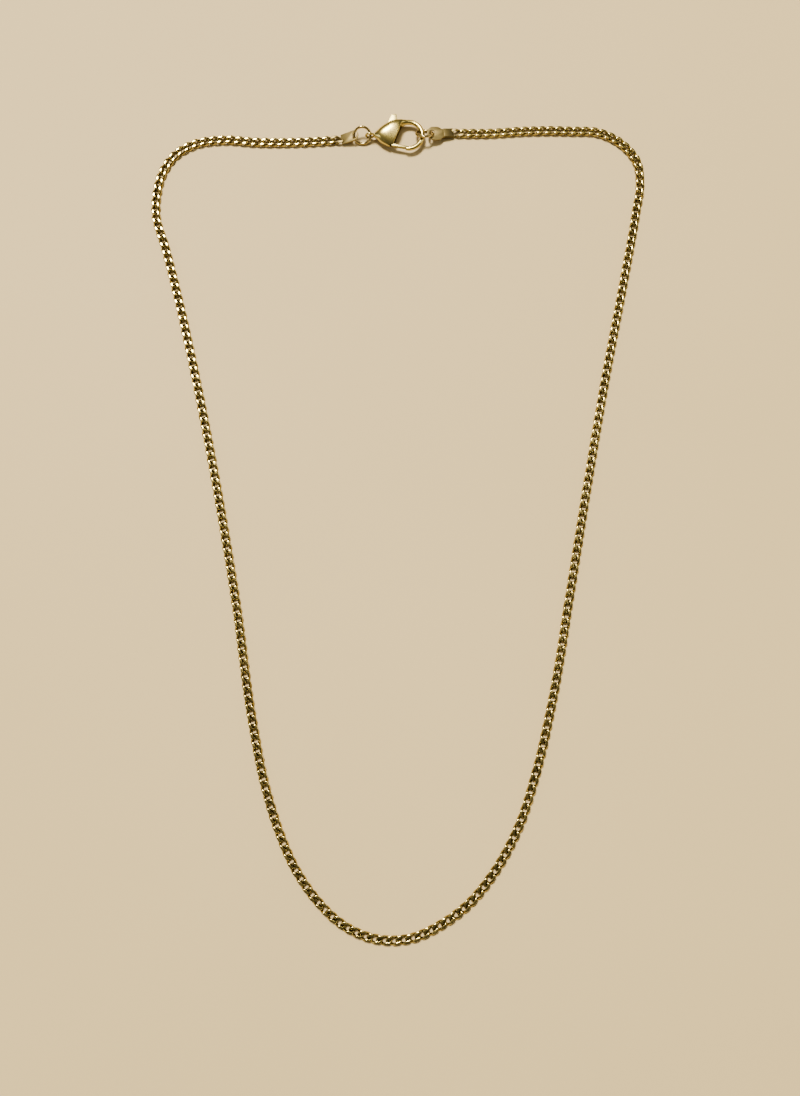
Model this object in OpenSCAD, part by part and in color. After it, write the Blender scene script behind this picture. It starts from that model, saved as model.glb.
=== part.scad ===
// Curb chain necklace, lying closed on a flat surface, with a lobster clasp.
// X points right, Y towards the clasp and Z up; the surface is at Z = 0.

/* [Chain] */
// Length of chain that one link takes
link_pitch = 1.83; // [1.75:0.01:1.95]
// Width across the chain
chain_w = 1.9; // [1.8:0.05:2]
// Thickness of the chain over its filed flats
chain_t = 0.95; // [0.85:0.05:1.1]
// Width of the wire of a link
link_wire = 0.5; // [0.44:0.01:0.52]
// Play left where two links hold each other
link_play = 0.24; // [0.22:0.01:0.28]
// Gap between two links where one lies over the other
lap_gap = 0.18; // [0.16:0.01:0.22]
// Slope of a link's filed faces along the chain, in degrees
lap_tilt = 12; // [6:1:14]

/* [End tags] */
// Thickness of both end tags
tag_t = 0.3; // [0.25:0.05:0.4]
// Metal left beside the hole of the left end tag
tag_side = 0.25; // [0.2:0.01:0.35]
// Width of the oval head of the right end tag
tag_head_w = 3; // [2.6:0.1:3.2]
// Length of the oval head of the right end tag
tag_head_l = 3.6; // [3.4:0.1:4]
// Width of the neck of the right end tag
tag_neck_w = 1.9; // [1.7:0.1:2.1]
// Thickness of that neck
tag_neck_t = 0.8; // [0.6:0.05:0.9]
// Rim between the hole of the left end tag and its end
tag_rim = 0.35; // [0.3:0.05:0.5]
// Rim between the hole in the head of the right end tag and its end
tag_head_rim = 0.6; // [0.4:0.05:0.7]
// Clearance of a jump ring in the hole of a tag or an eye
ring_clear = 0.1; // [0.08:0.01:0.12]

/* [Jump rings] */
// Outer diameter of a jump ring
ring_d = 3.95; // [3.8:0.05:4.1]
// Diameter of the wire of a jump ring
ring_wire = 0.55; // [0.5:0.01:0.58]
// Angle at which a jump ring leans on what it holds
ring_lean = 41; // [39:1:42]

/* [Clasp] */
// Greatest thickness of the clasp body
clasp_t = 2.9; // [2.7:0.05:3]
// Radius of the hook, to the middle of its wire
hook_r = 2.95; // [2.85:0.05:3.1]
// Diameter of the wire of the hook
hook_wire = 1; // [0.9:0.05:1.1]
// Greatest width of the clasp body
body_w = 5.9; // [5.6:0.1:6.1]
// Length of the clasp body, from its eye to the middle of the hook
body_l = 8.05; // [7.9:0.05:8.2]
// Outer diameter of the eye at the clasp's tail
eye_d = 2.1; // [2.06:0.02:2.2]
// Diameter of the wire of that eye
eye_wire = 0.46; // [0.42:0.02:0.48]

/* [Lever] */
// Thickness of the lever
lever_t = 0.8; // [0.7:0.05:0.9]
// Clearance between the lever and the slot it turns in, on each side
slot_clear = 0.1; // [0.08:0.01:0.15]
// Diameter of the pivot pin
pin_d = 0.7; // [0.6:0.05:0.8]
// Clearance of the lever's bore round the pin, on the radius
pin_clear = 0.04; // [0.03:0.01:0.06]
// Diameter of the lever round its pin
hub_d = 1.5; // [1.4:0.05:1.6]
// Height of the thumb tab over the middle of the hook
tab_h = 4.6; // [4.4:0.1:4.8]
// Width of the thumb tab at its tip
tab_w = 1.17; // [1:0.05:1.3]
// Angle that the lever opens by, in degrees
lever_open = 24; // [18:1:26]
// Gap between the tip of the lever and the tip of the hook
gate_gap = 0.1; // [0.08:0.01:0.14]

/* [Hidden] */
gold = [0.83, 0.68, 0.36];
gold_dark = [0.72, 0.57, 0.28];
gold_pale = [0.92, 0.79, 0.5];

// The way that the chain lies, from the clasp's left side round to its right.
route = [
  [-12, 78.5], [-21, 78], [-30, 78], [-37, 78.5], [-43, 77.5], [-47, 75],
  [-49.5, 71], [-50.5, 66.5], [-50.5, 61.5], [-48.5, 55], [-45.5, 44],
  [-40.5, 23], [-36, 1.5], [-32, -20], [-28.5, -42], [-25.5, -55.5],
  [-23, -63], [-19.5, -70.5], [-15.5, -76], [-10.5, -80.5], [-4.5, -83],
  [2, -83], [8, -80.5], [13.5, -76.5], [18.5, -70.5], [23, -62.5],
  [26.5, -52.5], [30, -38.5], [34, -17], [38, 5], [42, 26], [46.5, 47.5],
  [49.5, 62.5], [50.5, 68.5], [50, 73.5], [47, 77.5], [42.5, 80],
  [36, 80.5], [27, 80.5], [19, 80], [11.5, 80]
];
route_steps = 12;
route_last = len(route) - 1;

// How far a ring's wire bows inside a hole, and how far the hole is moved over to sit round it.
ring_bow = 0.17;
hole_shift = [0.13, 0.07];
// How far the block at the neck of the right end tag reaches past the head's edge.
neck_shoulder = 0.1;
// How far the right ring is from where it would touch the inside of the hook at its middle.
ring_right_play = [-0.5, 0.4];

function unit(v) = v / norm(v);

// Direction of the route at one of its points, true for points on a circle.
function heading(i) =
  i == 0 ? unit(route[1] - route[0]) :
  i == route_last ? unit(route[i] - route[i - 1]) :
  let (before = route[i] - route[i - 1], after = route[i + 1] - route[i])
  unit(unit(before) * norm(after) + unit(after) * norm(before));

// Point at share t of the smooth curve between route points i and i + 1.
function curve_at(i, t) =
  let (span = norm(route[i + 1] - route[i]))
  (2 * t ^ 3 - 3 * t ^ 2 + 1) * route[i] +
  (t ^ 3 - 2 * t ^ 2 + t) * span * heading(i) +
  (3 * t ^ 2 - 2 * t ^ 3) * route[i + 1] +
  (t ^ 3 - t ^ 2) * span * heading(i + 1);

curve = [
  for (i = [0 : route_last - 1], k = [0 : route_steps - 1]) curve_at(i, k / route_steps),
  route[route_last]
];
curve_s = [
  for (i = 0, s = 0; i < len(curve);
       i = i + 1, s = s + (i < len(curve) ? norm(curve[i] - curve[i - 1]) : 0)) s
];
curve_x = [for (i = [0 : len(curve) - 1]) [curve_s[i], curve[i][0]]];
curve_y = [for (i = [0 : len(curve) - 1]) [curve_s[i], curve[i][1]]];
chain_len = curve_s[len(curve) - 1];
function along(s) = [lookup(s, curve_x), lookup(s, curve_y)];

// The links share the route evenly; the first and last are soldered to the tags.
link_count = round(chain_len / link_pitch);
pitch = chain_len / link_count;
half_count = floor(link_count / 2);
link_mid = [(pitch + link_wire + link_play) / 2, (chain_w - link_wire) / 2];
link_web = [0.1, 0.12];

// The clasp's middle plane, which the jump rings share, and the middle of its hook.
ring_r = (ring_d - ring_wire) / 2;
clasp_z = clasp_t / 2;
hook_at = [2.05, 79];

// Each ring is where it hangs on the clasp, and a tag's hole is where its wire passes.
eye_r = (eye_d - eye_wire) / 2;
eye_at = hook_at - [body_l, 0];
ring_left_at = eye_at + [ring_bow / 2 - ring_r, 0];
ring_right_at = hook_at + [hook_r - (hook_wire + ring_wire) / 2 + ring_r, 0] + ring_right_play;
hole_left_at = ring_left_at - [ring_r, 0];
hole_right_at = ring_right_at + [ring_r, 0];

// A tag's slope up from the chain to its ring. Its hole has room for a wire that leans.
function slope(from, to) = atan((clasp_z - chain_t / 2) / norm(to - from));
function hole_l(slope) = ring_wire + ring_bow + tag_t * tan(slope) + 2 * ring_clear;
function hole_w(slope) =
  let (steep = asin(sin(ring_lean) * cos(slope)))
  ring_wire / sin(steep) + (tag_t + ring_bow) / tan(steep) + 2 * ring_clear;
tag_w = hole_w(slope(route[0], hole_left_at)) + 2 * tag_side;

// The clasp's body from its tail to its mouth, in shares of its length, width and thickness.
body_sides = 24;
body_rows = [
  // distance from the hook, top edge, bottom edge, thickness
  [0.9, 0.085, -0.068, 0.32],
  [0.855, 0.119, -0.102, 0.43],
  [0.79, 0.203, -0.18, 0.62],
  [0.736, 0.278, -0.25, 0.75],
  [0.672, 0.342, -0.308, 0.85],
  [0.602, 0.397, -0.36, 0.92],
  [0.523, 0.449, -0.415, 0.97],
  [0.435, 0.5, -0.434, 1],
  [0.326, 0.542, -0.44, 0.985],
  [0.217, 0.564, -0.44, 0.92],
  [0.099, 0.58, -0.44, 0.81],
  [0, 0.585, -0.44, 0.67]
];
mouth_at = [-1.35, 2.3];
mouth_turn = 22.5;

// The hook's wire by angle, in shares of its diameter: it starts broad and ends slim.
hook_sides = 16;
hook_step = 6;
hook_from = 128;
hook_to = -100;
hook_across = [[-100, 0.84], [-78, 0.95], [-55, 1], [75, 1], [100, 1.1], [128, 1.25]];
hook_high = [[-100, 0.8], [-78, 0.92], [-55, 1], [70, 1.04], [90, 1.25], [108, 1.65], [128, 2.1]];

// The lever as seen from above: its pivot, the tab's tip and root, and the bends of its arm.
pivot = [-3.83, -0.5];
tab_mid = -3.03;
tab_corner = [0.16, 0.2];
tab_root = [[-4.28, 2.9], [-2.3, 3.1]];
arm_w = 0.7 * hub_d;
arm_out = [[-3.95, -1.9], [-3.4, -2.5]];
arm_in = [[-2.95, -1.98], [-3.1, -1.5]];

// The slanted joint where the lever's tip meets the hook's, and how far it reaches out and in.
gate_tip = [-0.35, -2.88];
gate_turn = 30;
gate_face = [0.25, 0.45];

// Room round the lever in its slot: beside the tab when shut and when open, and under the arm.
tab_room = 0.2;
swing_room = 0.3;
arm_room = 0.4;
pin_recess = 0.15;

// Places a piece on the chain's line, at the distance s along it.
module on_route(s) {
  ahead = along(s + pitch / 2) - along(s - pitch / 2);
  spot = along(s);
  translate([spot[0], spot[1], chain_t / 2])
    rotate([0, 0, atan2(ahead[1], ahead[0])])
      children();
}

module oval(half_l, half_w) {
  square([2 * (half_l - half_w), 2 * half_w], center = true);
  for (side = [-1, 1])
    translate([side * (half_l - half_w), 0]) circle(r = half_w, $fn = 32);
}

// What is filed off one quarter of a link, so that the next link can lie over it.
module lap() {
  translate([pitch / 2, link_web[1], -lap_gap / 2])
    rotate([0, lap_tilt, 0])
      translate([link_web[0] - pitch / 2, 0, 0])
        cube([2 * pitch, chain_w, chain_t]);
}

module link() {
  difference() {
    linear_extrude(height = chain_t, center = true)
      difference() {
        oval(link_mid[0] + link_wire / 2, link_mid[1] + link_wire / 2);
        oval(link_mid[0] - link_wire / 2, link_mid[1] - link_wire / 2);
      }
    for (turn = [0, 180], flip = [0, 180])
      rotate([flip, 0, turn]) lap();
  }
}

module chain_left() color(gold)
  for (i = [1 : half_count - 1]) on_route((i + 0.5) * pitch) link();

module chain_right() color(gold)
  for (i = [half_count : link_count - 2]) on_route((i + 0.5) * pitch) link();

// Lays a piece along the slope from the chain's end up to a hole at the clasp's height.
module tag_frame(from, to) {
  run = to - from;
  translate([to[0], to[1], clasp_z])
    rotate([0, 0, atan2(run[1], run[0])])
      rotate([0, -slope(from, to), 0])
        children();
}

// A tag's plate, with the hole turned so that it stays in line with the ring's wire.
module tag_plate(from, to) {
  run = to - from;
  rise = slope(from, to);
  wire_turn = atan(run[1] / run[0]) + atan(tan(ring_lean) * sin(rise));
  linear_extrude(height = tag_t, center = true)
    difference() {
      children();
      translate(hole_shift)
        rotate([0, 0, 90 - wire_turn])
          oval(hole_w(rise) / 2, hole_l(rise) / 2);
    }
}

module end_tag_left() color(gold_dark) {
  from = route[0];
  length = norm([norm(hole_left_at - from), clasp_z - chain_t / 2]);
  round_mid = (ring_bow + hole_l(slope(from, hole_left_at)) - tag_w) / 2 + tag_rim;
  on_route(0.5 * pitch) link();
  tag_frame(from, hole_left_at)
    tag_plate(from, hole_left_at) {
      translate([-length, -tag_w / 2]) square([length + round_mid, tag_w]);
      translate([round_mid, 0]) circle(r = tag_w / 2, $fn = 48);
    }
}

module end_tag_right() color(gold_dark) {
  from = route[route_last];
  length = norm([norm(hole_right_at - from), clasp_z - chain_t / 2]);
  head_mid = (ring_bow + hole_l(slope(from, hole_right_at)) - tag_head_l) / 2 + tag_head_rim;
  neck_l = length + head_mid - tag_head_l / 2;
  on_route(chain_len - 0.5 * pitch) link();
  tag_frame(from, hole_right_at) {
    tag_plate(from, hole_right_at) {
      translate([head_mid, 0]) oval(tag_head_l / 2, tag_head_w / 2);
      translate([-length, -tag_neck_w / 2]) square([length + head_mid, tag_neck_w]);
    }
    translate([-length, -tag_neck_w / 2, -tag_neck_t / 2])
      cube([neck_l + neck_shoulder, tag_neck_w, tag_neck_t]);
  }
}

module jump_ring(spot, lean) {
  translate([spot[0], spot[1], clasp_z])
    rotate([lean, 0, 0])
      rotate_extrude($fn = 64)
        translate([ring_r, 0]) circle(d = ring_wire, $fn = 32);
}

module jump_ring_left() color(gold_pale) jump_ring(ring_left_at, ring_lean);

module jump_ring_right() color(gold_pale) jump_ring(ring_right_at, -ring_lean);

module clasp_frame() translate([hook_at[0], hook_at[1], clasp_z]) children();

// The puffed body: oval sections that swell from the tail to the mouth.
module body_swell() {
  rows = len(body_rows);
  points = [
    for (row = body_rows, k = [0 : body_sides - 1])
      let (a = 360 * k / body_sides, mid = (row[1] + row[2]) / 2, half = (row[1] - row[2]) / 2)
      [-row[0] * body_l, (mid + half * cos(a)) * body_w, row[3] * clasp_t / 2 * sin(a)]
  ];
  faces = [
    [for (k = [0 : body_sides - 1]) k],
    for (i = [0 : rows - 2], k = [0 : body_sides - 1])
      let (a = i * body_sides + k, b = i * body_sides + (k + 1) % body_sides)
      each [[a, a + body_sides, b], [b, a + body_sides, b + body_sides]],
    [for (k = [1 : body_sides]) rows * body_sides - k]
  ];
  polyhedron(points, faces);
}

// Everything beyond a line through a point, as seen from above.
module beyond(spot, turn) {
  far = 3 * body_l;
  translate([spot[0], spot[1], 0])
    rotate([0, 0, turn])
      translate([0, -far, -far]) cube([far, 2 * far, 2 * far]);
}

// Where a point of the lever is when the lever is open.
function swung(spot) =
  let (arm = spot - pivot)
  pivot + [
    arm[0] * cos(lever_open) - arm[1] * sin(lever_open),
    arm[0] * sin(lever_open) + arm[1] * cos(lever_open)
  ];

// The slot that the lever lies and turns in, open at the mouth and over the thumb tab.
module lever_slot() {
  side = hub_d / 2 + slot_clear;
  far = body_w;
  right = tab_root[1][0] + tab_room;
  past_mouth = mouth_at + [0.05, -arm_room];
  left = swung([tab_mid - tab_w / 2, tab_h - tab_corner[1]])[0] - swing_room;
  linear_extrude(height = lever_t + 2 * slot_clear, center = true)
    polygon([
      [right, far], [right, mouth_at[1]], past_mouth, [past_mouth[0], -far],
      [arm_out[1][0], -far], arm_out[0] - [0, arm_room],
      pivot - [side, hub_d / 2 + swing_room], pivot - [side, -arm_room],
      [left, mouth_at[1]], [left, far]
    ]);
}

module eye() {
  translate([-body_l, 0, 0])
    rotate([90, 0, 0])
      rotate_extrude($fn = 64)
        translate([eye_r, 0]) circle(d = eye_wire, $fn = 32);
}

// The hook's round wire, swept along its arc with the section that each angle has.
module hook_wire_sweep() {
  rows = floor((hook_from - hook_to) / hook_step);
  points = [
    for (i = [0 : rows], k = [0 : hook_sides - 1])
      let (
        turn = hook_to + (hook_from - hook_to) * i / rows,
        a = 360 * k / hook_sides,
        across = hook_wire / 2 * lookup(turn, hook_across),
        high = hook_wire / 2 * lookup(turn, hook_high),
        r = hook_r + across * cos(a)
      )
      [r * cos(turn), r * sin(turn), high * sin(a)]
  ];
  faces = [
    [for (k = [1 : hook_sides]) hook_sides - k],
    for (i = [0 : rows - 1], k = [0 : hook_sides - 1])
      let (a = i * hook_sides + k, b = i * hook_sides + (k + 1) % hook_sides)
      each [[a, b, a + hook_sides], [b, b + hook_sides, a + hook_sides]],
    [for (k = [0 : hook_sides - 1]) rows * hook_sides + k]
  ];
  polyhedron(points, faces);
}

// The hook, cut off at the slanted joint with the lever's tip.
module hook() {
  difference() {
    hook_wire_sweep();
    translate([gate_tip[0], gate_tip[1], 0])
      rotate([0, 0, gate_turn])
        translate([-hook_r, -gate_gap / 2, -hook_wire])
          cube([2 * hook_r, 2 * hook_wire, 2 * hook_wire]);
  }
}

module clasp_body() color(gold) clasp_frame() {
  difference() {
    union() {
      difference() {
        body_swell();
        beyond(mouth_at, -mouth_turn);
      }
      eye();
      hook();
    }
    lever_slot();
  }
  translate([pivot[0], pivot[1], 0])
    cylinder(d = pin_d, h = clasp_t - 2 * pin_recess, center = true, $fn = 48);
}

// The lever from above: the thumb tab, the arm down to the pivot and the gate.
module lever_outline() {
  line = [cos(gate_turn), sin(gate_turn)];
  seat = gate_tip + gate_gap / 2 * [-line[1], line[0]];
  tip = [[tab_mid - tab_w / 2, tab_h], [tab_mid + tab_w / 2, tab_h]];
  difference() {
    union() {
      translate(pivot) circle(d = hub_d, $fn = 48);
      polygon([
        pivot - [arm_w / 2, 0], pivot - [arm_w / 2, hub_d / 2 - slot_clear],
        arm_out[0], arm_out[1], seat - gate_face[0] * line, seat + gate_face[1] * line,
        arm_in[0], arm_in[1], pivot + [arm_w / 2, 0], tab_root[1],
        tip[1] - [0, tab_corner[1]], tip[1] - [tab_corner[0], 0],
        tip[0] + [tab_corner[0], 0], tip[0] - [0, tab_corner[1]], tab_root[0]
      ]);
    }
    translate(pivot) circle(d = pin_d + 2 * pin_clear, $fn = 48);
  }
}

module clasp_lever() color(gold_dark) clasp_frame()
  linear_extrude(height = lever_t, center = true) lever_outline();

chain_left();
chain_right();
end_tag_left();
end_tag_right();
jump_ring_left();
jump_ring_right();
clasp_body();
clasp_lever();
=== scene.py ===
import math
import random

import bmesh
import bpy
from mathutils import Matrix, Vector


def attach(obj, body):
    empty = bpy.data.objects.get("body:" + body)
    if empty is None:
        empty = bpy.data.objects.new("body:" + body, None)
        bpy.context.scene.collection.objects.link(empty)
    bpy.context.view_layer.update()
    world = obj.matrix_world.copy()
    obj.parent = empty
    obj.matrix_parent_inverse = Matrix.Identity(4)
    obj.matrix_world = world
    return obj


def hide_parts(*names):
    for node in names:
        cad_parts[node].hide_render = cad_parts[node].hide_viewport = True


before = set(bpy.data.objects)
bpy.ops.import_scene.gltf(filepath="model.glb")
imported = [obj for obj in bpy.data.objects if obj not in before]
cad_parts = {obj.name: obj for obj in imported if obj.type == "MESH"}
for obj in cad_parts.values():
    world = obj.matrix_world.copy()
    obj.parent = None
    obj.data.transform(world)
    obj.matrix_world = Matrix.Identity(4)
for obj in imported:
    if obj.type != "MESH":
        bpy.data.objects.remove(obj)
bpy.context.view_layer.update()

# Looks of a curb chain necklace that lies closed on a pale surface, with its lobster clasp at the top.
# Sizes are in millimetres and angles in degrees, as in the part's source. A mesh is scaled to metres when
# it is finished. Only the floor and the lights are given in metres.

MM = 0.001
UP = Vector((0, 0, 1))

# Chain
LINK_PITCH = 1.83
CHAIN_W = 1.9
CHAIN_T = 0.95
LINK_WIRE = 0.57
LINK_PLAY = 0.12  # how much longer a link is than its pitch and wire need
LINK_TWIST = 37
LINK_BEND = 0.5  # length of the bend at each end
LINK_FLAT_FROM = 0.3  # height above the middle from which the wire is worn
LINK_SIDES = 16
LINK_BAR_STEPS = 10
LINK_BEND_STEPS = 12
LINK_SWAY = 0.8

# End tags
TAG_T = 0.3
TAG_SIDE = 0.25
TAG_HEAD_W = 3.0
TAG_HEAD_L = 3.6
TAG_NECK_W = 1.9
TAG_NECK_T = 0.8
TAG_RIM = 0.35
TAG_HEAD_RIM = 0.6
TAG_EDGE = 0.05
TAG_STEPS = 24
NECK_CORNER = 0.15
NECK_EDGE = 0.12
HOLE_STEPS = 16
RING_CLEAR = 0.1

# Jump rings
RING_D = 3.95
RING_WIRE = 0.55
RING_LEAN = 41
RING_BOW = 0.17
RING_STEPS = 96
RING_SIDES = 24

# Clasp
CLASP_T = 2.9
HOOK_R = 2.95
HOOK_WIRE = 1.0
BODY_W = 5.9
BODY_L = 8.05
EYE_D = 2.1
EYE_WIRE = 0.46
EYE_STEPS = 64
LEVER_T = 0.8
LEVER_EDGE = 0.1
SLOT_CLEAR = 0.1
PIN_D = 0.7
PIN_CLEAR = 0.04
HUB_D = 1.5
TAB_H = 4.6
TAB_W = 1.17
LEVER_OPEN = 24
GATE_GAP = 0.1

# The way that the chain lies, from the clasp's left side round to its right
ROUTE = [
    (-12, 78.5), (-21, 78), (-30, 78), (-37, 78.5), (-43, 77.5), (-47, 75),
    (-49.5, 71), (-50.5, 66.5), (-50.5, 61.5), (-48.5, 55), (-45.5, 44),
    (-40.5, 23), (-36, 1.5), (-32, -20), (-28.5, -42), (-25.5, -55.5),
    (-23, -63), (-19.5, -70.5), (-15.5, -76), (-10.5, -80.5), (-4.5, -83),
    (2, -83), (8, -80.5), (13.5, -76.5), (18.5, -70.5), (23, -62.5),
    (26.5, -52.5), (30, -38.5), (34, -17), (38, 5), (42, 26), (46.5, 47.5),
    (49.5, 62.5), (50.5, 68.5), (50, 73.5), (47, 77.5), (42.5, 80),
    (36, 80.5), (27, 80.5), (19, 80), (11.5, 80),
]
ROUTE = [Vector((x, y, 0)) for x, y in ROUTE]
ROUTE_STEPS = 12

# Places that follow from the sizes
CLASP_Z = CLASP_T / 2
HOOK_AT = Vector((2.05, 79, CLASP_Z))
RING_R = (RING_D - RING_WIRE) / 2
RING_RIGHT_PLAY = Vector((-0.5, 0.4, 0))
EYE_R = (EYE_D - EYE_WIRE) / 2
EYE_AT = HOOK_AT - Vector((BODY_L, 0, 0))
RING_LEFT_AT = EYE_AT + Vector((RING_BOW / 2 - RING_R, 0, 0))
RING_RIGHT_REACH = HOOK_R - (HOOK_WIRE + RING_WIRE) / 2 + RING_R
RING_RIGHT_AT = HOOK_AT + Vector((RING_RIGHT_REACH, 0, 0)) + RING_RIGHT_PLAY
HOLE_SHIFT = (0.13, 0.07)
NECK_SHOULDER = 0.1

# Outlines and meshes
CORNER_STEPS = 5
CORNER_REACH = 0.45  # largest share of a side that a rounded corner takes
EDGE_STEPS = 2
WELD = 1e-4


def smooth_route():
    """Points close together on the chain's line, and the distance along it at each of them."""
    last = len(ROUTE) - 1

    def heading(i):
        if i == 0:
            return (ROUTE[1] - ROUTE[0]).normalized()
        if i == last:
            return (ROUTE[i] - ROUTE[i - 1]).normalized()
        before = ROUTE[i] - ROUTE[i - 1]
        after = ROUTE[i + 1] - ROUTE[i]
        return (before.normalized() * after.length + after.normalized() * before.length).normalized()

    points = []
    for i in range(last):
        span = (ROUTE[i + 1] - ROUTE[i]).length
        for k in range(ROUTE_STEPS):
            t = k / ROUTE_STEPS
            points.append(
                (2 * t ** 3 - 3 * t ** 2 + 1) * ROUTE[i]
                + (t ** 3 - 2 * t ** 2 + t) * span * heading(i)
                + (3 * t ** 2 - 2 * t ** 3) * ROUTE[i + 1]
                + (t ** 3 - t ** 2) * span * heading(i + 1)
            )
    points.append(ROUTE[last])
    at = [0.0]
    for a, b in zip(points, points[1:]):
        at.append(at[-1] + (b - a).length)
    return points, at


LINE, LINE_AT = smooth_route()
CHAIN_LEN = LINE_AT[-1]
LINK_COUNT = round(CHAIN_LEN / LINK_PITCH)
PITCH = CHAIN_LEN / LINK_COUNT


def along(s):
    """Point on the chain's line at the distance s, held at its ends."""
    i = 0
    while i < len(LINE) - 2 and LINE_AT[i + 1] < s:
        i += 1
    share = (s - LINE_AT[i]) / (LINE_AT[i + 1] - LINE_AT[i])
    return LINE[i].lerp(LINE[i + 1], min(max(share, 0), 1))


def link_place(i):
    """Where link i lies: at the middle of its share of the chain, turned along it."""
    s = (i + 0.5) * PITCH
    ahead = along(s + PITCH / 2) - along(s - PITCH / 2)
    turn = math.atan2(ahead.y, ahead.x)
    return Matrix.Translation(along(s) + UP * CHAIN_T / 2) @ Matrix.Rotation(turn, 4, "Z")


def tube(path, sizes, sides, closed):
    """A tube along path, whose rings have the half widths and half heights that sizes gives."""
    mesh = bmesh.new()
    count = len(path)
    rings = []
    for i, spot in enumerate(path):
        before = path[i - 1] if closed or i else path[i]
        after = path[(i + 1) % count] if closed or i + 1 < count else path[i]
        ahead = (after - before).normalized()
        across = ahead.cross(UP).normalized()
        high = across.cross(ahead)
        ring = []
        for k in range(sides):
            a = 2 * math.pi * k / sides
            offset = across * (math.cos(a) * sizes[i][0]) + high * (math.sin(a) * sizes[i][1])
            ring.append(mesh.verts.new(spot + offset))
        rings.append(ring)
    for i in range(count if closed else count - 1):
        near = rings[i]
        far = rings[(i + 1) % count]
        for k in range(sides):
            mesh.faces.new((near[k], near[(k + 1) % sides], far[(k + 1) % sides], far[k]))
    if not closed:
        mesh.faces.new(rings[0])
        mesh.faces.new(rings[-1])
    bmesh.ops.recalc_face_normals(mesh, faces=mesh.faces)
    return mesh


def link_line():
    """The centre line of a twisted link: two bars that wind about its axis, and a bend at each end."""
    half_w = (CHAIN_W - LINK_WIRE) / 2
    bar = (PITCH + LINK_WIRE + LINK_PLAY) / 2 - LINK_BEND
    twist = math.radians(LINK_TWIST)
    half = []
    for k in range(LINK_BAR_STEPS):
        share = 2 * k / LINK_BAR_STEPS - 1
        turn = twist * math.sin(math.pi / 2 * share)
        half.append(Vector((bar * share, -half_w * math.cos(turn), half_w * math.sin(turn))))
    for k in range(LINK_BEND_STEPS):
        a = math.pi * k / LINK_BEND_STEPS
        out = half_w * math.cos(a)
        half.append(Vector((bar + LINK_BEND * math.sin(a), -out * math.cos(twist), out * math.sin(twist))))
    return half + [Vector((-p.x, -p.y, p.z)) for p in half]


def link_mesh():
    """One link: round twisted wire, with its top and bottom worn down to gently domed flats."""
    line = link_line()
    mesh = tube(line, [(LINK_WIRE / 2, LINK_WIRE / 2)] * len(line), LINK_SIDES, True)
    top = max(v.co.z for v in mesh.verts)
    left = CHAIN_T / 2 - LINK_FLAT_FROM
    worn = (top - LINK_FLAT_FROM) / left
    for v in mesh.verts:
        over = abs(v.co.z) - LINK_FLAT_FROM
        if over > 0:
            share = min(over / (top - LINK_FLAT_FROM), 1)
            v.co.z = math.copysign(LINK_FLAT_FROM + left * (1 - (1 - share) ** worn), v.co.z)
    return mesh


def links(first, last, seed):
    """Links first to last as one mesh, each swayed a little and with a tone of its own."""
    draw = random.Random(seed)
    one = bpy.data.meshes.new("one_link")
    made = link_mesh()
    made.to_mesh(one)
    made.free()
    mesh = bmesh.new()
    tone_and_shade = mesh.verts.layers.float.new("tone_and_shade")
    for i in range(first, last + 1):
        sway = Matrix.Identity(4)
        for axis in "XYZ":
            sway = sway @ Matrix.Rotation(math.radians(draw.uniform(-LINK_SWAY, LINK_SWAY)), 4, axis)
        place = link_place(i) @ sway
        known = len(mesh.verts)
        mesh.from_mesh(one)
        mesh.verts.ensure_lookup_table()
        value = draw.random()
        for v in mesh.verts[known:]:
            v.co = place @ v.co
            v.co.z = max(v.co.z, 0)
            v[tone_and_shade] = value
    return mesh


def finish_piece(name, mesh, body, node, material, sharp):
    """Makes a piece from a mesh in millimetres, with smooth faces and sharp edges over that angle."""
    data = bpy.data.meshes.new(name)
    mesh.to_mesh(data)
    mesh.free()
    data.transform(Matrix.Scale(MM, 4))
    data.shade_smooth()
    data.set_sharp_from_angle(angle=math.radians(sharp))
    data.materials.append(material)
    piece = bpy.data.objects.new(name, data)
    bpy.context.scene.collection.objects.link(piece)
    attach(piece, body)
    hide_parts(node)


def arc_points(centre, radius, start, end, steps):
    """Points of an arc in the XY plane, with the angles in degrees."""
    points = []
    for k in range(steps + 1):
        a = math.radians(start + (end - start) * k / steps)
        points.append((centre[0] + radius * math.cos(a), centre[1] + radius * math.sin(a)))
    return points


def rounded(corners, radius):
    """An outline with each corner rounded off. radius is one number or one for each corner."""
    points = []
    count = len(corners)
    for i, corner in enumerate(corners):
        r = radius[i] if isinstance(radius, (list, tuple)) else radius
        spot = Vector(corner)
        before = Vector(corners[i - 1]) - spot
        after = Vector(corners[(i + 1) % count]) - spot
        reach = min(r, before.length * CORNER_REACH, after.length * CORNER_REACH)
        if reach <= 0:
            points.append(tuple(spot))
            continue
        start = spot + before.normalized() * reach
        end = spot + after.normalized() * reach
        for k in range(CORNER_STEPS + 1):
            t = k / CORNER_STEPS
            p = (1 - t) ** 2 * start + 2 * t * (1 - t) * spot + t ** 2 * end
            points.append(tuple(p))
    return points


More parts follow.
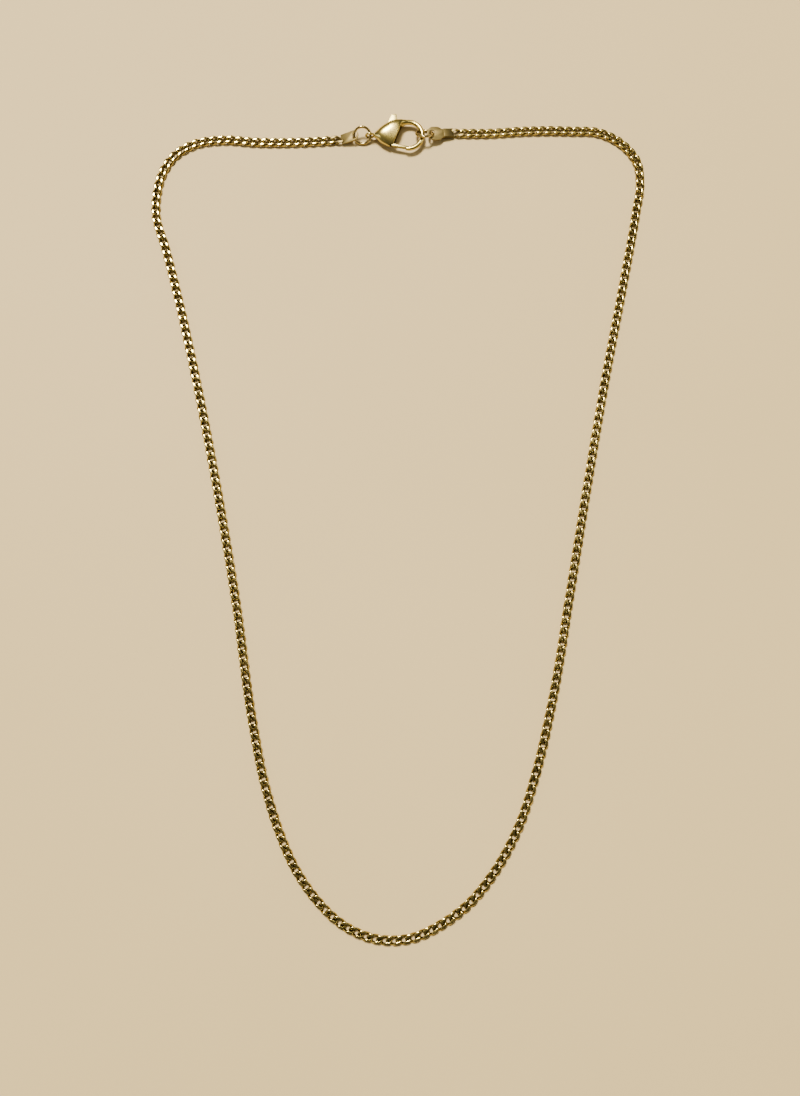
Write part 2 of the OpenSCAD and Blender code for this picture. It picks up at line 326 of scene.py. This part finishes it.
def plate(outlines, thickness, edge):
    """A flat plate with its edges rounded off by edge, centred on Z = 0. Later outlines are holes."""
    curve = bpy.data.curves.new("plate", "CURVE")
    curve.dimensions = "2D"
    curve.fill_mode = "BOTH"
    curve.extrude = thickness / 2 - edge
    curve.bevel_depth = edge
    curve.bevel_resolution = EDGE_STEPS
    curve.offset = -edge
    for outline in outlines:
        spline = curve.splines.new("POLY")
        spline.points.add(len(outline) - 1)
        for point, spot in zip(spline.points, outline):
            point.co = (spot[0], spot[1], 0, 1)
        spline.use_cyclic_u = True
    holder = bpy.data.objects.new("plate", curve)
    bpy.context.scene.collection.objects.link(holder)
    bpy.context.view_layer.update()
    depsgraph = bpy.context.evaluated_depsgraph_get()
    data = bpy.data.meshes.new_from_object(holder.evaluated_get(depsgraph))
    bpy.data.objects.remove(holder)
    mesh = bmesh.new()
    mesh.from_mesh(data)
    bmesh.ops.remove_doubles(mesh, verts=mesh.verts, dist=WELD)
    bmesh.ops.recalc_face_normals(mesh, faces=mesh.faces)
    return mesh


def merge(target, source, place=Matrix.Identity(4), tone_and_shade=1.0):
    """Adds the faces of source, placed by a matrix, to target, and notes the tone that sets how light their
    colour is.
    """
    data = bpy.data.meshes.new("merged")
    source.to_mesh(data)
    source.free()
    data.transform(place)
    layer = target.verts.layers.float.get("tone_and_shade") or target.verts.layers.float.new("tone_and_shade")
    known = len(target.verts)
    target.from_mesh(data)
    target.verts.ensure_lookup_table()
    for v in target.verts[known:]:
        v[layer] = tone_and_shade
    return target


def solid_object(name, mesh):
    """An object that holds the mesh, for modifiers to change or to cut with."""
    data = bpy.data.meshes.new(name)
    mesh.to_mesh(data)
    mesh.free()
    holder = bpy.data.objects.new(name, data)
    bpy.context.scene.collection.objects.link(holder)
    return holder


def evaluated(holder, *others):
    """The mesh of an object with its modifiers, after which it and the others are removed."""
    bpy.context.view_layer.update()
    depsgraph = bpy.context.evaluated_depsgraph_get()
    data = bpy.data.meshes.new_from_object(holder.evaluated_get(depsgraph))
    for gone in (holder, *others):
        bpy.data.objects.remove(gone)
    return data


# Materials

WANDER = 0.6  # grains in a millimetre of the colour's wandering
PAINTED_SHADE = 0.42  # painted shade: share of the dark colour that is left in a crevice or where the floor is near
OPEN_SHARE = (0.2, 0.95)  # openness of a place that gets the full painted shade, and of one that gets none
CREVICE_RAYS = 6
MARK_DEPTH = 0.01


def nodes_of(name):
    material = bpy.data.materials.new(name)
    material.use_nodes = True
    tree = material.node_tree
    return material, tree, tree.nodes["Principled BSDF"]


def noise(tree, scale, detail, stretch=(1, 1, 1)):
    """Noise in the object's own coordinates; scale counts its grains in a millimetre."""
    place = tree.nodes.new("ShaderNodeTexCoord")
    mapping = tree.nodes.new("ShaderNodeMapping")
    mapping.inputs["Scale"].default_value = [scale / MM * s for s in stretch]
    texture = tree.nodes.new("ShaderNodeTexNoise")
    texture.inputs["Scale"].default_value = 1
    texture.inputs["Detail"].default_value = detail
    tree.links.new(place.outputs["Object"], mapping.inputs["Vector"])
    tree.links.new(mapping.outputs["Vector"], texture.inputs["Vector"])
    return texture.outputs["Fac"]


def ramp(tree, value, stops):
    """The colour that a value has on a ramp of (place, colour) stops."""
    node = tree.nodes.new("ShaderNodeValToRGB")
    while len(node.color_ramp.elements) < len(stops):
        node.color_ramp.elements.new(0.5)
    for element, (at, colour) in zip(node.color_ramp.elements, stops):
        element.position = at
        element.color = (*colour, 1)
    tree.links.new(value, node.inputs["Fac"])
    return node.outputs["Color"]


def spread(tree, value, low, high):
    """Maps the middle of a noise to the range from low to high."""
    node = tree.nodes.new("ShaderNodeMapRange")
    node.inputs["From Min"].default_value = 0.3
    node.inputs["From Max"].default_value = 0.7
    node.inputs["To Min"].default_value = low
    node.inputs["To Max"].default_value = high
    tree.links.new(value, node.inputs["Value"])
    return node.outputs["Result"]


def mixed(tree, share, a, b, blend="MIX"):
    """Blends colour b over a. share is a number or the output of a node."""
    node = tree.nodes.new("ShaderNodeMix")
    node.data_type = "RGBA"
    node.blend_type = blend
    if isinstance(share, float):
        node.inputs["Factor"].default_value = share
    else:
        tree.links.new(share, node.inputs["Factor"])
    tree.links.new(a, node.inputs["A"])
    tree.links.new(b, node.inputs["B"])
    return node.outputs["Result"]


def gold(name, light, dark, rough, grain, depth, brushed=(1, 1, 1), crevice=1.2, least=1.0):
    """Worn gold plate: a colour that wanders, painted shade in its crevices and on its undersides, and fine
    marks in the gloss.

    brushed stretches the marks along an axis, depth is the strength of their bump and crevice the reach
    of the painted shade. least is the share of its colour that a place of the darkest tone keeps.
    """
    material, tree, shader = nodes_of(name)
    shader.inputs["Metallic"].default_value = 1.0
    wander = ramp(tree, noise(tree, WANDER, 3), [(0.35, dark), (0.65, light)])
    if least < 1:
        tone_and_shade = tree.nodes.new("ShaderNodeAttribute")
        tone_and_shade.attribute_name = "tone_and_shade"
        own = ramp(tree, tone_and_shade.outputs["Fac"], [(0.0, (least, least, least)), (1.0, (1, 1, 1))])
        wander = mixed(tree, 1.0, wander, own, "MULTIPLY")
    # Painted shade: the colour darkens where nearby parts or the floor hide the surface, in crevices and on
    # undersides.
    hidden = tree.nodes.new("ShaderNodeAmbientOcclusion")
    hidden.samples = CREVICE_RAYS
    hidden.inputs["Distance"].default_value = crevice * MM
    shade_colour = tree.nodes.new("ShaderNodeRGB")
    shade_colour.outputs[0].default_value = (*[c * PAINTED_SHADE for c in dark], 1)
    open_share = tree.nodes.new("ShaderNodeMapRange")
    open_share.inputs["From Min"].default_value = OPEN_SHARE[0]
    open_share.inputs["From Max"].default_value = OPEN_SHARE[1]
    tree.links.new(hidden.outputs["AO"], open_share.inputs["Value"])
    colour = mixed(tree, open_share.outputs["Result"], shade_colour.outputs[0], wander)
    tree.links.new(colour, shader.inputs["Base Color"])
    marks = noise(tree, grain, 4, brushed)
    tree.links.new(spread(tree, marks, rough[0], rough[1]), shader.inputs["Roughness"])
    bump = tree.nodes.new("ShaderNodeBump")
    bump.inputs["Strength"].default_value = depth
    bump.inputs["Distance"].default_value = MARK_DEPTH * MM
    tree.links.new(marks, bump.inputs["Height"])
    tree.links.new(bump.outputs["Normal"], shader.inputs["Normal"])
    return material


CHAIN_GOLD = gold("chain_gold", light=(0.65, 0.51, 0.16), dark=(0.47, 0.37, 0.11),
                  rough=(0.11, 0.19), grain=9, depth=0.04, least=0.7)
TAG_GOLD = gold("tag_gold", light=(0.31, 0.24, 0.09), dark=(0.22, 0.17, 0.06),
                rough=(0.40, 0.50), grain=5, brushed=(0.4, 2, 1), depth=0.05, least=0.4)
WIRE_GOLD = gold("wire_gold", light=(0.60, 0.47, 0.19), dark=(0.42, 0.32, 0.12),
                 rough=(0.12, 0.22), grain=4, depth=0.05, crevice=2)
CLASP_GOLD = gold("clasp_gold", light=(0.66, 0.53, 0.16), dark=(0.52, 0.41, 0.12),
                  rough=(0.19, 0.27), grain=5, brushed=(0.3, 2, 2), depth=0.04, crevice=3)
LEVER_GOLD = gold("lever_gold", light=(0.72, 0.61, 0.23), dark=(0.58, 0.48, 0.17),
                  rough=(0.24, 0.34), grain=6, brushed=(2, 0.4, 1), depth=0.04, least=0.4)


# Chain

HALF_COUNT = LINK_COUNT // 2
finish_piece("curb_links_left", links(1, HALF_COUNT - 1, seed=3),
             "necklace", "chain_left", CHAIN_GOLD, sharp=30)
finish_piece("curb_links_right", links(HALF_COUNT, LINK_COUNT - 2, seed=4),
             "necklace", "chain_right", CHAIN_GOLD, sharp=30)


# Jump rings

def wire_ring(radius, wire, steps):
    """A closed ring of round wire that lies flat about the origin."""
    turns = [2 * math.pi * k / steps for k in range(steps)]
    path = [Vector((radius * math.cos(a), radius * math.sin(a), 0)) for a in turns]
    return tube(path, [(wire / 2, wire / 2)] * steps, RING_SIDES, True)


def jump_ring(name, spot, lean, node):
    mesh = wire_ring(RING_R, RING_WIRE, RING_STEPS)
    place = Matrix.Translation(spot) @ Matrix.Rotation(math.radians(lean), 4, "X")
    bmesh.ops.transform(mesh, matrix=place, verts=mesh.verts)
    finish_piece(name, mesh, "necklace", node, WIRE_GOLD, sharp=40)


jump_ring("wire_ring_left", RING_LEFT_AT, RING_LEAN, "jump_ring_left")
jump_ring("wire_ring_right", RING_RIGHT_AT, -RING_LEAN, "jump_ring_right")


# End tags

def oval(centre, half_l, half_w, turn):
    """An oval with round ends, longer along X before it is turned."""
    straight = half_l - half_w
    points = arc_points((straight, 0), half_w, -90, 90, HOLE_STEPS)
    points += arc_points((-straight, 0), half_w, 90, 270, HOLE_STEPS)
    a = math.radians(turn)
    return [(centre[0] + x * math.cos(a) - y * math.sin(a), centre[1] + x * math.sin(a) + y * math.cos(a))
            for x, y in points]


def tag_frame(start, end):
    """A tag that slopes from the chain's end to a hole at the clasp's height.

    Returns its place, its length, its hole's size along and across it, and the hole's outline.
    """
    run = end - start
    flat = math.hypot(run.x, run.y)
    slope = math.atan((CLASP_Z - CHAIN_T / 2) / flat)
    place = (Matrix.Translation(Vector((end.x, end.y, CLASP_Z)))
             @ Matrix.Rotation(math.atan2(run.y, run.x), 4, "Z") @ Matrix.Rotation(-slope, 4, "Y"))
    length = math.hypot(flat, CLASP_Z - CHAIN_T / 2)
    lean = math.radians(RING_LEAN)
    wire_turn = math.atan(run.y / run.x) + math.atan(math.tan(lean) * math.sin(slope))
    steep = math.asin(math.sin(lean) * math.cos(slope))
    hole_l = RING_WIRE + RING_BOW + TAG_T * math.tan(slope) + 2 * RING_CLEAR
    hole_w = RING_WIRE / math.sin(steep) + (TAG_T + RING_BOW) / math.tan(steep) + 2 * RING_CLEAR
    hole = oval(HOLE_SHIFT, hole_w / 2, hole_l / 2, 90 - math.degrees(wire_turn))
    return place, length, (hole_l, hole_w), hole


def end_tag_left():
    place, length, hole_size, hole = tag_frame(ROUTE[0], RING_LEFT_AT - Vector((RING_R, 0, 0)))
    half = hole_size[1] / 2 + TAG_SIDE
    round_mid = (RING_BOW + hole_size[0]) / 2 + TAG_RIM - half
    outline = arc_points((round_mid, 0), half, -90, 90, TAG_STEPS)
    outline += [(-length, half), (-length, -half)]
    mesh = bmesh.new()
    merge(mesh, plate([outline, hole], TAG_T, TAG_EDGE), place)
    merge(mesh, link_mesh(), link_place(0))
    finish_piece("soldered_tag_left", mesh, "necklace", "end_tag_left", TAG_GOLD, sharp=30)


def end_tag_right():
    place, length, hole_size, hole = tag_frame(ROUTE[-1], RING_RIGHT_AT + Vector((RING_R, 0, 0)))
    head_mid = (RING_BOW + hole_size[0] - TAG_HEAD_L) / 2 + TAG_HEAD_RIM
    neck_l = length + head_mid - TAG_HEAD_L / 2
    half = TAG_HEAD_W / 2
    straight = TAG_HEAD_L / 2 - half
    join = math.degrees(math.asin(TAG_NECK_W / TAG_HEAD_W))
    outline = arc_points((head_mid + straight, 0), half, -90, 90, TAG_STEPS)
    outline += arc_points((head_mid - straight, 0), half, 90, 180 - join, TAG_STEPS // 2)
    outline += [(-length, TAG_NECK_W / 2), (-length, -TAG_NECK_W / 2)]
    outline += arc_points((head_mid - straight, 0), half, 180 + join, 270, TAG_STEPS // 2)
    mesh = bmesh.new()
    merge(mesh, plate([outline, hole], TAG_T, TAG_EDGE), place)
    shoulder = neck_l + NECK_SHOULDER - length
    block = [(-length, -TAG_NECK_W / 2), (shoulder, -TAG_NECK_W / 2),
             (shoulder, TAG_NECK_W / 2), (-length, TAG_NECK_W / 2)]
    # Painted shade: the neck block takes the darkest tone, so it shows darker than the rest of the tag.
    merge(mesh, plate([rounded(block, NECK_CORNER)], TAG_NECK_T, NECK_EDGE), place, tone_and_shade=0.0)
    merge(mesh, link_mesh(), link_place(LINK_COUNT - 1))
    finish_piece("soldered_tag_right", mesh, "necklace", "end_tag_right", TAG_GOLD, sharp=30)


end_tag_left()
end_tag_right()


# Clasp

BODY_SIDES = 48
BODY_ROWS = [
    # distance from the hook's middle as a share of BODY_L, top edge and bottom edge as shares of BODY_W,
    # thickness as a share of CLASP_T
    (0.9, 0.085, -0.068, 0.32),
    (0.855, 0.119, -0.102, 0.43),
    (0.79, 0.203, -0.18, 0.62),
    (0.736, 0.278, -0.25, 0.75),
    (0.672, 0.342, -0.308, 0.85),
    (0.602, 0.397, -0.36, 0.92),
    (0.523, 0.449, -0.415, 0.97),
    (0.435, 0.5, -0.434, 1),
    (0.326, 0.542, -0.44, 0.985),
    (0.217, 0.564, -0.44, 0.92),
    (0.099, 0.58, -0.44, 0.81),
    (0, 0.585, -0.44, 0.67),
]
ROW_STEPS = 6
MOUTH_AT = (-1.35, 2.3)
MOUTH_TURN = 22.5
HOOK_FROM = 128
HOOK_TO = -100
HOOK_STEPS = 114
HOOK_SIDES = 32
# Width and height of the hook's wire along its turn, as shares of HOOK_WIRE
HOOK_ACROSS = [(-100, 0.84), (-78, 0.95), (-55, 1), (75, 1), (100, 1.1), (128, 1.25)]
HOOK_HIGH = [(-100, 0.8), (-78, 0.92), (-55, 1), (70, 1.04), (90, 1.25), (108, 1.65), (128, 2.1)]
RIDGE = 0.48  # how far the body's ridge moves up, as a share of its half width
VOXEL = 0.06
SOFTEN_ROUNDS = 5
SPLINTER = 0.001
MELTS = [
    # place on the clasp, radius round it, rounds of smoothing there
    ((-1.2, 2.9), 2.2, 150),
    ((-1.3, 2.4), 1.0, 60),
    ((-7.1, 0), 0.7, 20),
]

# Lever, seen from above, from the hook's middle
PIVOT = Vector((-3.83, -0.5))
TAB_MID = -3.03
TAB_CORNER = Vector((0.16, 0.2))
TAB_ROUND = 0.1
TAB_ROOT = [(-4.28, 2.9), (-2.3, 3.1)]
ARM_W = 0.7 * HUB_D
ARM_OUT = [(-3.95, -1.9), (-3.4, -2.5)]
ARM_IN = [(-2.95, -1.98), (-3.1, -1.5)]
GATE_TIP = Vector((-0.35, -2.88))
GATE_TURN = 30
GATE_FACE = (0.25, 0.45)
JOINT_REACH = 2  # how far into the hook the cut at the slanted joint goes
HUB_STEPS = 8
HUB_RIGHT = (-30, 60)
HUB_LEFT = (130, 215)
PIN_STEPS = 32
MOUTH_OVER = 0.05
TAB_ROOM = 0.2
SWING_ROOM = 0.3
ARM_ROOM = 0.4
PIN_L = 2.0


def looked_up(table, x):
    """The value at x in a table of pairs, on the straight line between its neighbours."""
    for (x0, y0), (x1, y1) in zip(table, table[1:]):
        if x <= x1:
            t = (x - x0) / (x1 - x0)
            return y0 + (y1 - y0) * t
    return table[-1][1]


def body_swell():
    """The puffed body: sections that swell from the tail to the mouth, with a ridge that moves up."""
    rows = []
    for i in range(len(BODY_ROWS) - 1):
        four = [BODY_ROWS[min(max(i + step, 0), len(BODY_ROWS) - 1)] for step in (-1, 0, 1, 2)]
        for k in range(ROW_STEPS):
            t = k / ROW_STEPS
            rows.append([
                0.5 * (2 * b + (c - a) * t + (2 * a - 5 * b + 4 * c - d) * t ** 2
                       + (3 * b - a - 3 * c + d) * t ** 3)
                for a, b, c, d in zip(*four)
            ])
    rows.append(list(BODY_ROWS[-1]))
    mesh = bmesh.new()
    rings = []
    for back, top, bottom, thick in rows:
        middle = (top + bottom) / 2
        half = (top - bottom) / 2
        lift = RIDGE * min(1, 2 * (1 - back / rows[0][0]))
        ring = []
        for k in range(BODY_SIDES):
            a = 2 * math.pi * k / BODY_SIDES
            out = math.cos(a) + lift * math.sin(a) ** 2
            ring.append(mesh.verts.new((-back * BODY_L, (middle + half * out) * BODY_W,
                                        thick * CLASP_T / 2 * math.sin(a))))
        rings.append(ring)
    for near, far in zip(rings, rings[1:]):
        for k in range(BODY_SIDES):
            mesh.faces.new((near[k], near[(k + 1) % BODY_SIDES], far[(k + 1) % BODY_SIDES], far[k]))
    mesh.faces.new(rings[0])
    mesh.faces.new(rings[-1])
    turn = math.radians(-MOUTH_TURN)
    bmesh.ops.bisect_plane(
        mesh, geom=mesh.verts[:] + mesh.edges[:] + mesh.faces[:], dist=1e-5, clear_outer=True,
        plane_co=(MOUTH_AT[0], MOUTH_AT[1], 0), plane_no=(math.cos(turn), math.sin(turn), 0),
    )
    bmesh.ops.holes_fill(mesh, edges=[e for e in mesh.edges if e.is_boundary], sides=0)
    bmesh.ops.recalc_face_normals(mesh, faces=mesh.faces)
    return mesh


def hook_wire():
    """The hook's round wire, from its slim tip to its broad root."""
    path = []
    sizes = []
    for i in range(HOOK_STEPS + 1):
        turn = HOOK_TO + (HOOK_FROM - HOOK_TO) * i / HOOK_STEPS
        a = math.radians(turn)
        path.append(Vector((HOOK_R * math.cos(a), HOOK_R * math.sin(a), 0)))
        sizes.append([HOOK_WIRE / 2 * looked_up(table, turn) for table in (HOOK_ACROSS, HOOK_HIGH)])
    return tube(path, sizes, HOOK_SIDES, False)


def eye_wire():
    """The eye at the body's tail, which stands upright."""
    mesh = wire_ring(EYE_R, EYE_WIRE, EYE_STEPS)
    place = Matrix.Translation((-BODY_L, 0, 0)) @ Matrix.Rotation(math.radians(90), 4, "X")
    bmesh.ops.transform(mesh, matrix=place, verts=mesh.verts)
    return mesh


def prism(corners, thickness):
    """A flat solid of that outline, centred on Z = 0, with sharp edges."""
    mesh = bmesh.new()
    low = [mesh.verts.new((x, y, -thickness / 2)) for x, y in corners]
    high = [mesh.verts.new((x, y, thickness / 2)) for x, y in corners]
    mesh.faces.new(low)
    mesh.faces.new(high)
    count = len(corners)
    for i in range(count):
        mesh.faces.new((low[i], low[(i + 1) % count], high[(i + 1) % count], high[i]))
    bmesh.ops.recalc_face_normals(mesh, faces=mesh.faces)
    return mesh


def cut_away(holder, cutter):
    """Takes the cutter's solid off the holder's, once its modifiers are evaluated."""
    step = holder.modifiers.new("cut", "BOOLEAN")
    step.operation = "DIFFERENCE"
    step.solver = "EXACT"
    step.object = cutter


def melt(mesh):
    """Softens the places where the cast parts of the clasp run into one another, less further out."""
    for spot, radius, rounds in MELTS:
        away = {v: math.hypot(v.co.x - spot[0], v.co.y - spot[1]) for v in mesh.verts}
        near = [v for v in mesh.verts if away[v] < radius]
        for k in range(rounds):
            near = [v for v in near if away[v] < radius * (1 - k / rounds)]
            bmesh.ops.smooth_vert(mesh, verts=near, factor=0.5,
                                  use_axis_x=True, use_axis_y=True, use_axis_z=True)


def swung(spot):
    """Where a point of the lever is when it is fully open."""
    a = math.radians(LEVER_OPEN)
    arm = Vector(spot) - PIVOT
    x = arm.x * math.cos(a) - arm.y * math.sin(a)
    y = arm.x * math.sin(a) + arm.y * math.cos(a)
    return PIVOT + Vector((x, y))


def lever_slot():
    """The room that the lever swings in, to be cut out of the body."""
    side = HUB_D / 2 + SLOT_CLEAR
    far = BODY_W
    right = TAB_ROOT[1][0] + TAB_ROOM
    past_mouth = Vector(MOUTH_AT) + Vector((MOUTH_OVER, -ARM_ROOM))
    left = swung((TAB_MID - TAB_W / 2, TAB_H - TAB_CORNER.y)).x - SWING_ROOM
    return prism([
        (right, far), (right, MOUTH_AT[1]), tuple(past_mouth), (past_mouth.x, -far), (ARM_OUT[1][0], -far),
        (ARM_OUT[0][0], ARM_OUT[0][1] - ARM_ROOM), (PIVOT.x - side, PIVOT.y - HUB_D / 2 - SWING_ROOM),
        (PIVOT.x - side, PIVOT.y + ARM_ROOM), (left, MOUTH_AT[1]), (left, far),
    ], LEVER_T + 2 * SLOT_CLEAR)


def round_outline(radius):
    """A circle about the pivot."""
    return arc_points(PIVOT, radius, 0, 360 - 360 / PIN_STEPS, PIN_STEPS - 1)


def gate_line():
    """The direction of the slanted joint and the direction across it, into the hook."""
    a = math.radians(GATE_TURN)
    line = Vector((math.cos(a), math.sin(a)))
    return line, Vector((-line.y, line.x))


def clasp_body():
    """The cast body: swell, hook and eye fused and softened, the slot and the joint cut out, and the pin."""
    mesh = body_swell()
    merge(mesh, hook_wire())
    merge(mesh, eye_wire())
    cast = solid_object("cast", mesh)
    fuse = cast.modifiers.new("fuse", "REMESH")
    fuse.mode = "VOXEL"
    fuse.voxel_size = VOXEL
    soften = cast.modifiers.new("soften", "SMOOTH")
    soften.factor = 0.5
    soften.iterations = SOFTEN_ROUNDS
    fused = bmesh.new()
    fused.from_mesh(evaluated(cast))
    melt(fused)
    polished = solid_object("polished", fused)
    slot = solid_object("slot", lever_slot())
    cut_away(polished, slot)
    line, across = gate_line()
    base = GATE_TIP - across * GATE_GAP / 2
    nose = solid_object("nose", prism([
        tuple(base - line * HOOK_R), tuple(base + line * HOOK_R),
        tuple(base + line * HOOK_R + across * JOINT_REACH),
        tuple(base - line * HOOK_R + across * JOINT_REACH),
    ], 2 * HOOK_WIRE))
    cut_away(polished, nose)
    whole = bmesh.new()
    whole.from_mesh(evaluated(polished, slot, nose))
    bmesh.ops.triangulate(whole, faces=whole.faces)
    bmesh.ops.dissolve_degenerate(whole, dist=SPLINTER, edges=whole.edges)
    merge(whole, prism(round_outline(PIN_D / 2), PIN_L))
    bmesh.ops.translate(whole, vec=HOOK_AT, verts=whole.verts)
    finish_piece("lobster_clasp", whole, "necklace", "clasp_body", CLASP_GOLD, sharp=35)


def clasp_lever():
    """The lever: a thumb tab, and the arm and the gate, which are coloured darker than the tab as painted
    shade.
    """
    hub = HUB_D / 2
    line, across = gate_line()
    seat = GATE_TIP + GATE_GAP / 2 * across
    tab_left = TAB_MID - TAB_W / 2
    tab_right = TAB_MID + TAB_W / 2
    arm = [
        (PIVOT.x - ARM_W / 2, PIVOT.y - hub + SLOT_CLEAR), ARM_OUT[0], ARM_OUT[1],
        tuple(seat - GATE_FACE[0] * line), tuple(seat + GATE_FACE[1] * line), ARM_IN[0], ARM_IN[1],
    ]
    tab = rounded([
        TAB_ROOT[1], (tab_right, TAB_H - TAB_CORNER.y), (tab_right - TAB_CORNER.x, TAB_H),
        (tab_left + TAB_CORNER.x, TAB_H), (tab_left, TAB_H - TAB_CORNER.y), TAB_ROOT[0],
    ], [0, TAB_ROUND, TAB_ROUND, TAB_ROUND, TAB_ROUND, 0])
    outline = arm + arc_points(PIVOT, hub, *HUB_RIGHT, HUB_STEPS) + tab
    outline += arc_points(PIVOT, hub, *HUB_LEFT, HUB_STEPS)
    mesh = plate([outline, round_outline(PIN_D / 2 + PIN_CLEAR)], LEVER_T, LEVER_EDGE)
    # Painted shade: the arm and the gate take the darkest tone, and the thumb tab takes the lightest.
    tone_and_shade = mesh.verts.layers.float.new("tone_and_shade")
    for v in mesh.verts:
        v[tone_and_shade] = 1.0 if v.co.y > TAB_ROOT[0][1] - TAB_ROOM else 0.0
    bmesh.ops.translate(mesh, vec=HOOK_AT, verts=mesh.verts)
    finish_piece("thumb_lever", mesh, "lever", "clasp_lever", LEVER_GOLD, sharp=35)


clasp_body()
clasp_lever()


# Floor and light, in metres, and the camera, in millimetres

FLOOR_R = 2.2
FLOOR_STEPS = 72
FLOOR_DROP = 0.02 * MM  # keeps the floor's face clear of the undersides that rest on it
SKY = [
    # height of the direction, colour: pale at the horizon, dark above, lighter overhead
    (0.0, (0.80, 0.70, 0.55)), (0.08, (0.24, 0.22, 0.19)), (0.6, (0.20, 0.185, 0.15)),
    (0.88, (0.20, 0.185, 0.15)), (0.97, (0.30, 0.27, 0.20)),
]
SKY_STRENGTH = 0.7
SOFTBOXES = [
    # name, place, what it faces, size, watts, colour
    # The key lights the floor and casts the shadows.
    ("key", (-0.52, 1.25, 2.70), (0, 0, 0), (0.72, 0.60), 186, (1.0, 0.90, 0.76)),
    # These stand where flats of the clasp, the chain's top row and its two sides mirror them to the camera.
    ("window", (0.0, 0.65, 0.95), (0, 0.08, 0), (0.12, 0.08), 0.5, (1.0, 0.93, 0.74)),
    ("top_strip_left", (-0.17, 0.615, 0.95), (0, 0.08, 0), (0.26, 0.02), 0.09, (1.0, 0.95, 0.80)),
    ("top_strip_right", (0.20, 0.615, 0.95), (0, 0.08, 0), (0.16, 0.02), 0.05, (1.0, 0.95, 0.80)),
    ("left_strip", (-0.215, 0.25, 0.95), (-0.04, 0.03, 0), (0.05, 0.16), 0.2, (1.0, 0.95, 0.80)),
    ("right_strip", (0.215, 0.24, 0.95), (0.04, 0.0, 0), (0.03, 0.50), 0.34, (1.0, 0.93, 0.72)),
    # Two low ones for the sides of the wire
    ("side", (-0.9, -0.1, 0.5), (0, 0, 0), (0.2, 0.8), 1.5, (1.0, 0.94, 0.84)),
    ("rim", (0.9, 0.2, 0.45), (0, 0, 0), (0.2, 0.8), 1.5, (1.0, 0.94, 0.84)),
]
CAMERA_AT = Vector((0.3, -40.3, 217)) * MM
CAMERA_TO = Vector((0.3, -8.26, 0)) * MM
LENS = 36.13
FILM_H = 36


def floor():
    material, tree, shader = nodes_of("painted_board")
    shader.inputs["Roughness"].default_value = 0.62
    patches = ramp(tree, noise(tree, 0.008, 3), [
        (0.3, (0.700, 0.540, 0.252)), (0.7, (0.735, 0.570, 0.270)),
    ])
    tree.links.new(patches, shader.inputs["Base Color"])
    bump = tree.nodes.new("ShaderNodeBump")
    bump.inputs["Strength"].default_value = 0.08
    bump.inputs["Distance"].default_value = 0.2 * MM
    tree.links.new(noise(tree, 0.25, 3), bump.inputs["Height"])
    tree.links.new(bump.outputs["Normal"], shader.inputs["Normal"])
    rim = arc_points((0, 0), FLOOR_R, 0, 360 - 360 / FLOOR_STEPS, FLOOR_STEPS - 1)
    data = bpy.data.meshes.new("floor")
    data.from_pydata([(x, y, 0) for x, y in rim], [], [range(FLOOR_STEPS)])
    data.materials.append(material)
    board = bpy.data.objects.new("floor", data)
    board.location.z = -FLOOR_DROP
    bpy.context.scene.collection.objects.link(board)


def softbox(name, spot, target, size, power, colour):
    light = bpy.data.lights.new(name, "AREA")
    light.shape = "RECTANGLE"
    light.size = size[0]
    light.size_y = size[1]
    light.energy = power
    light.color = colour
    holder = bpy.data.objects.new(name, light)
    holder.location = spot
    holder.rotation_euler = (Vector(target) - Vector(spot)).to_track_quat("-Z", "Y").to_euler()
    bpy.context.scene.collection.objects.link(holder)


def surroundings():
    world = bpy.data.worlds.new("studio")
    bpy.context.scene.world = world
    world.use_nodes = True
    tree = world.node_tree
    background = tree.nodes["Background"]
    place = tree.nodes.new("ShaderNodeTexCoord")
    split = tree.nodes.new("ShaderNodeSeparateXYZ")
    tree.links.new(place.outputs["Generated"], split.inputs["Vector"])
    sky = ramp(tree, split.outputs["Z"], SKY)
    tree.links.new(sky, background.inputs["Color"])
    background.inputs["Strength"].default_value = SKY_STRENGTH


floor()
surroundings()
for row in SOFTBOXES:
    softbox(*row)

camera = bpy.data.cameras.new("camera")
camera.sensor_fit = "VERTICAL"
camera.sensor_height = FILM_H
camera.lens = LENS
camera.clip_start = 0.01
camera.clip_end = 20
viewer = bpy.data.objects.new("camera", camera)
viewer.location = CAMERA_AT
viewer.rotation_euler = (CAMERA_TO - CAMERA_AT).to_track_quat("-Z", "Y").to_euler()
bpy.context.scene.collection.objects.link(viewer)
bpy.context.scene.camera = viewer
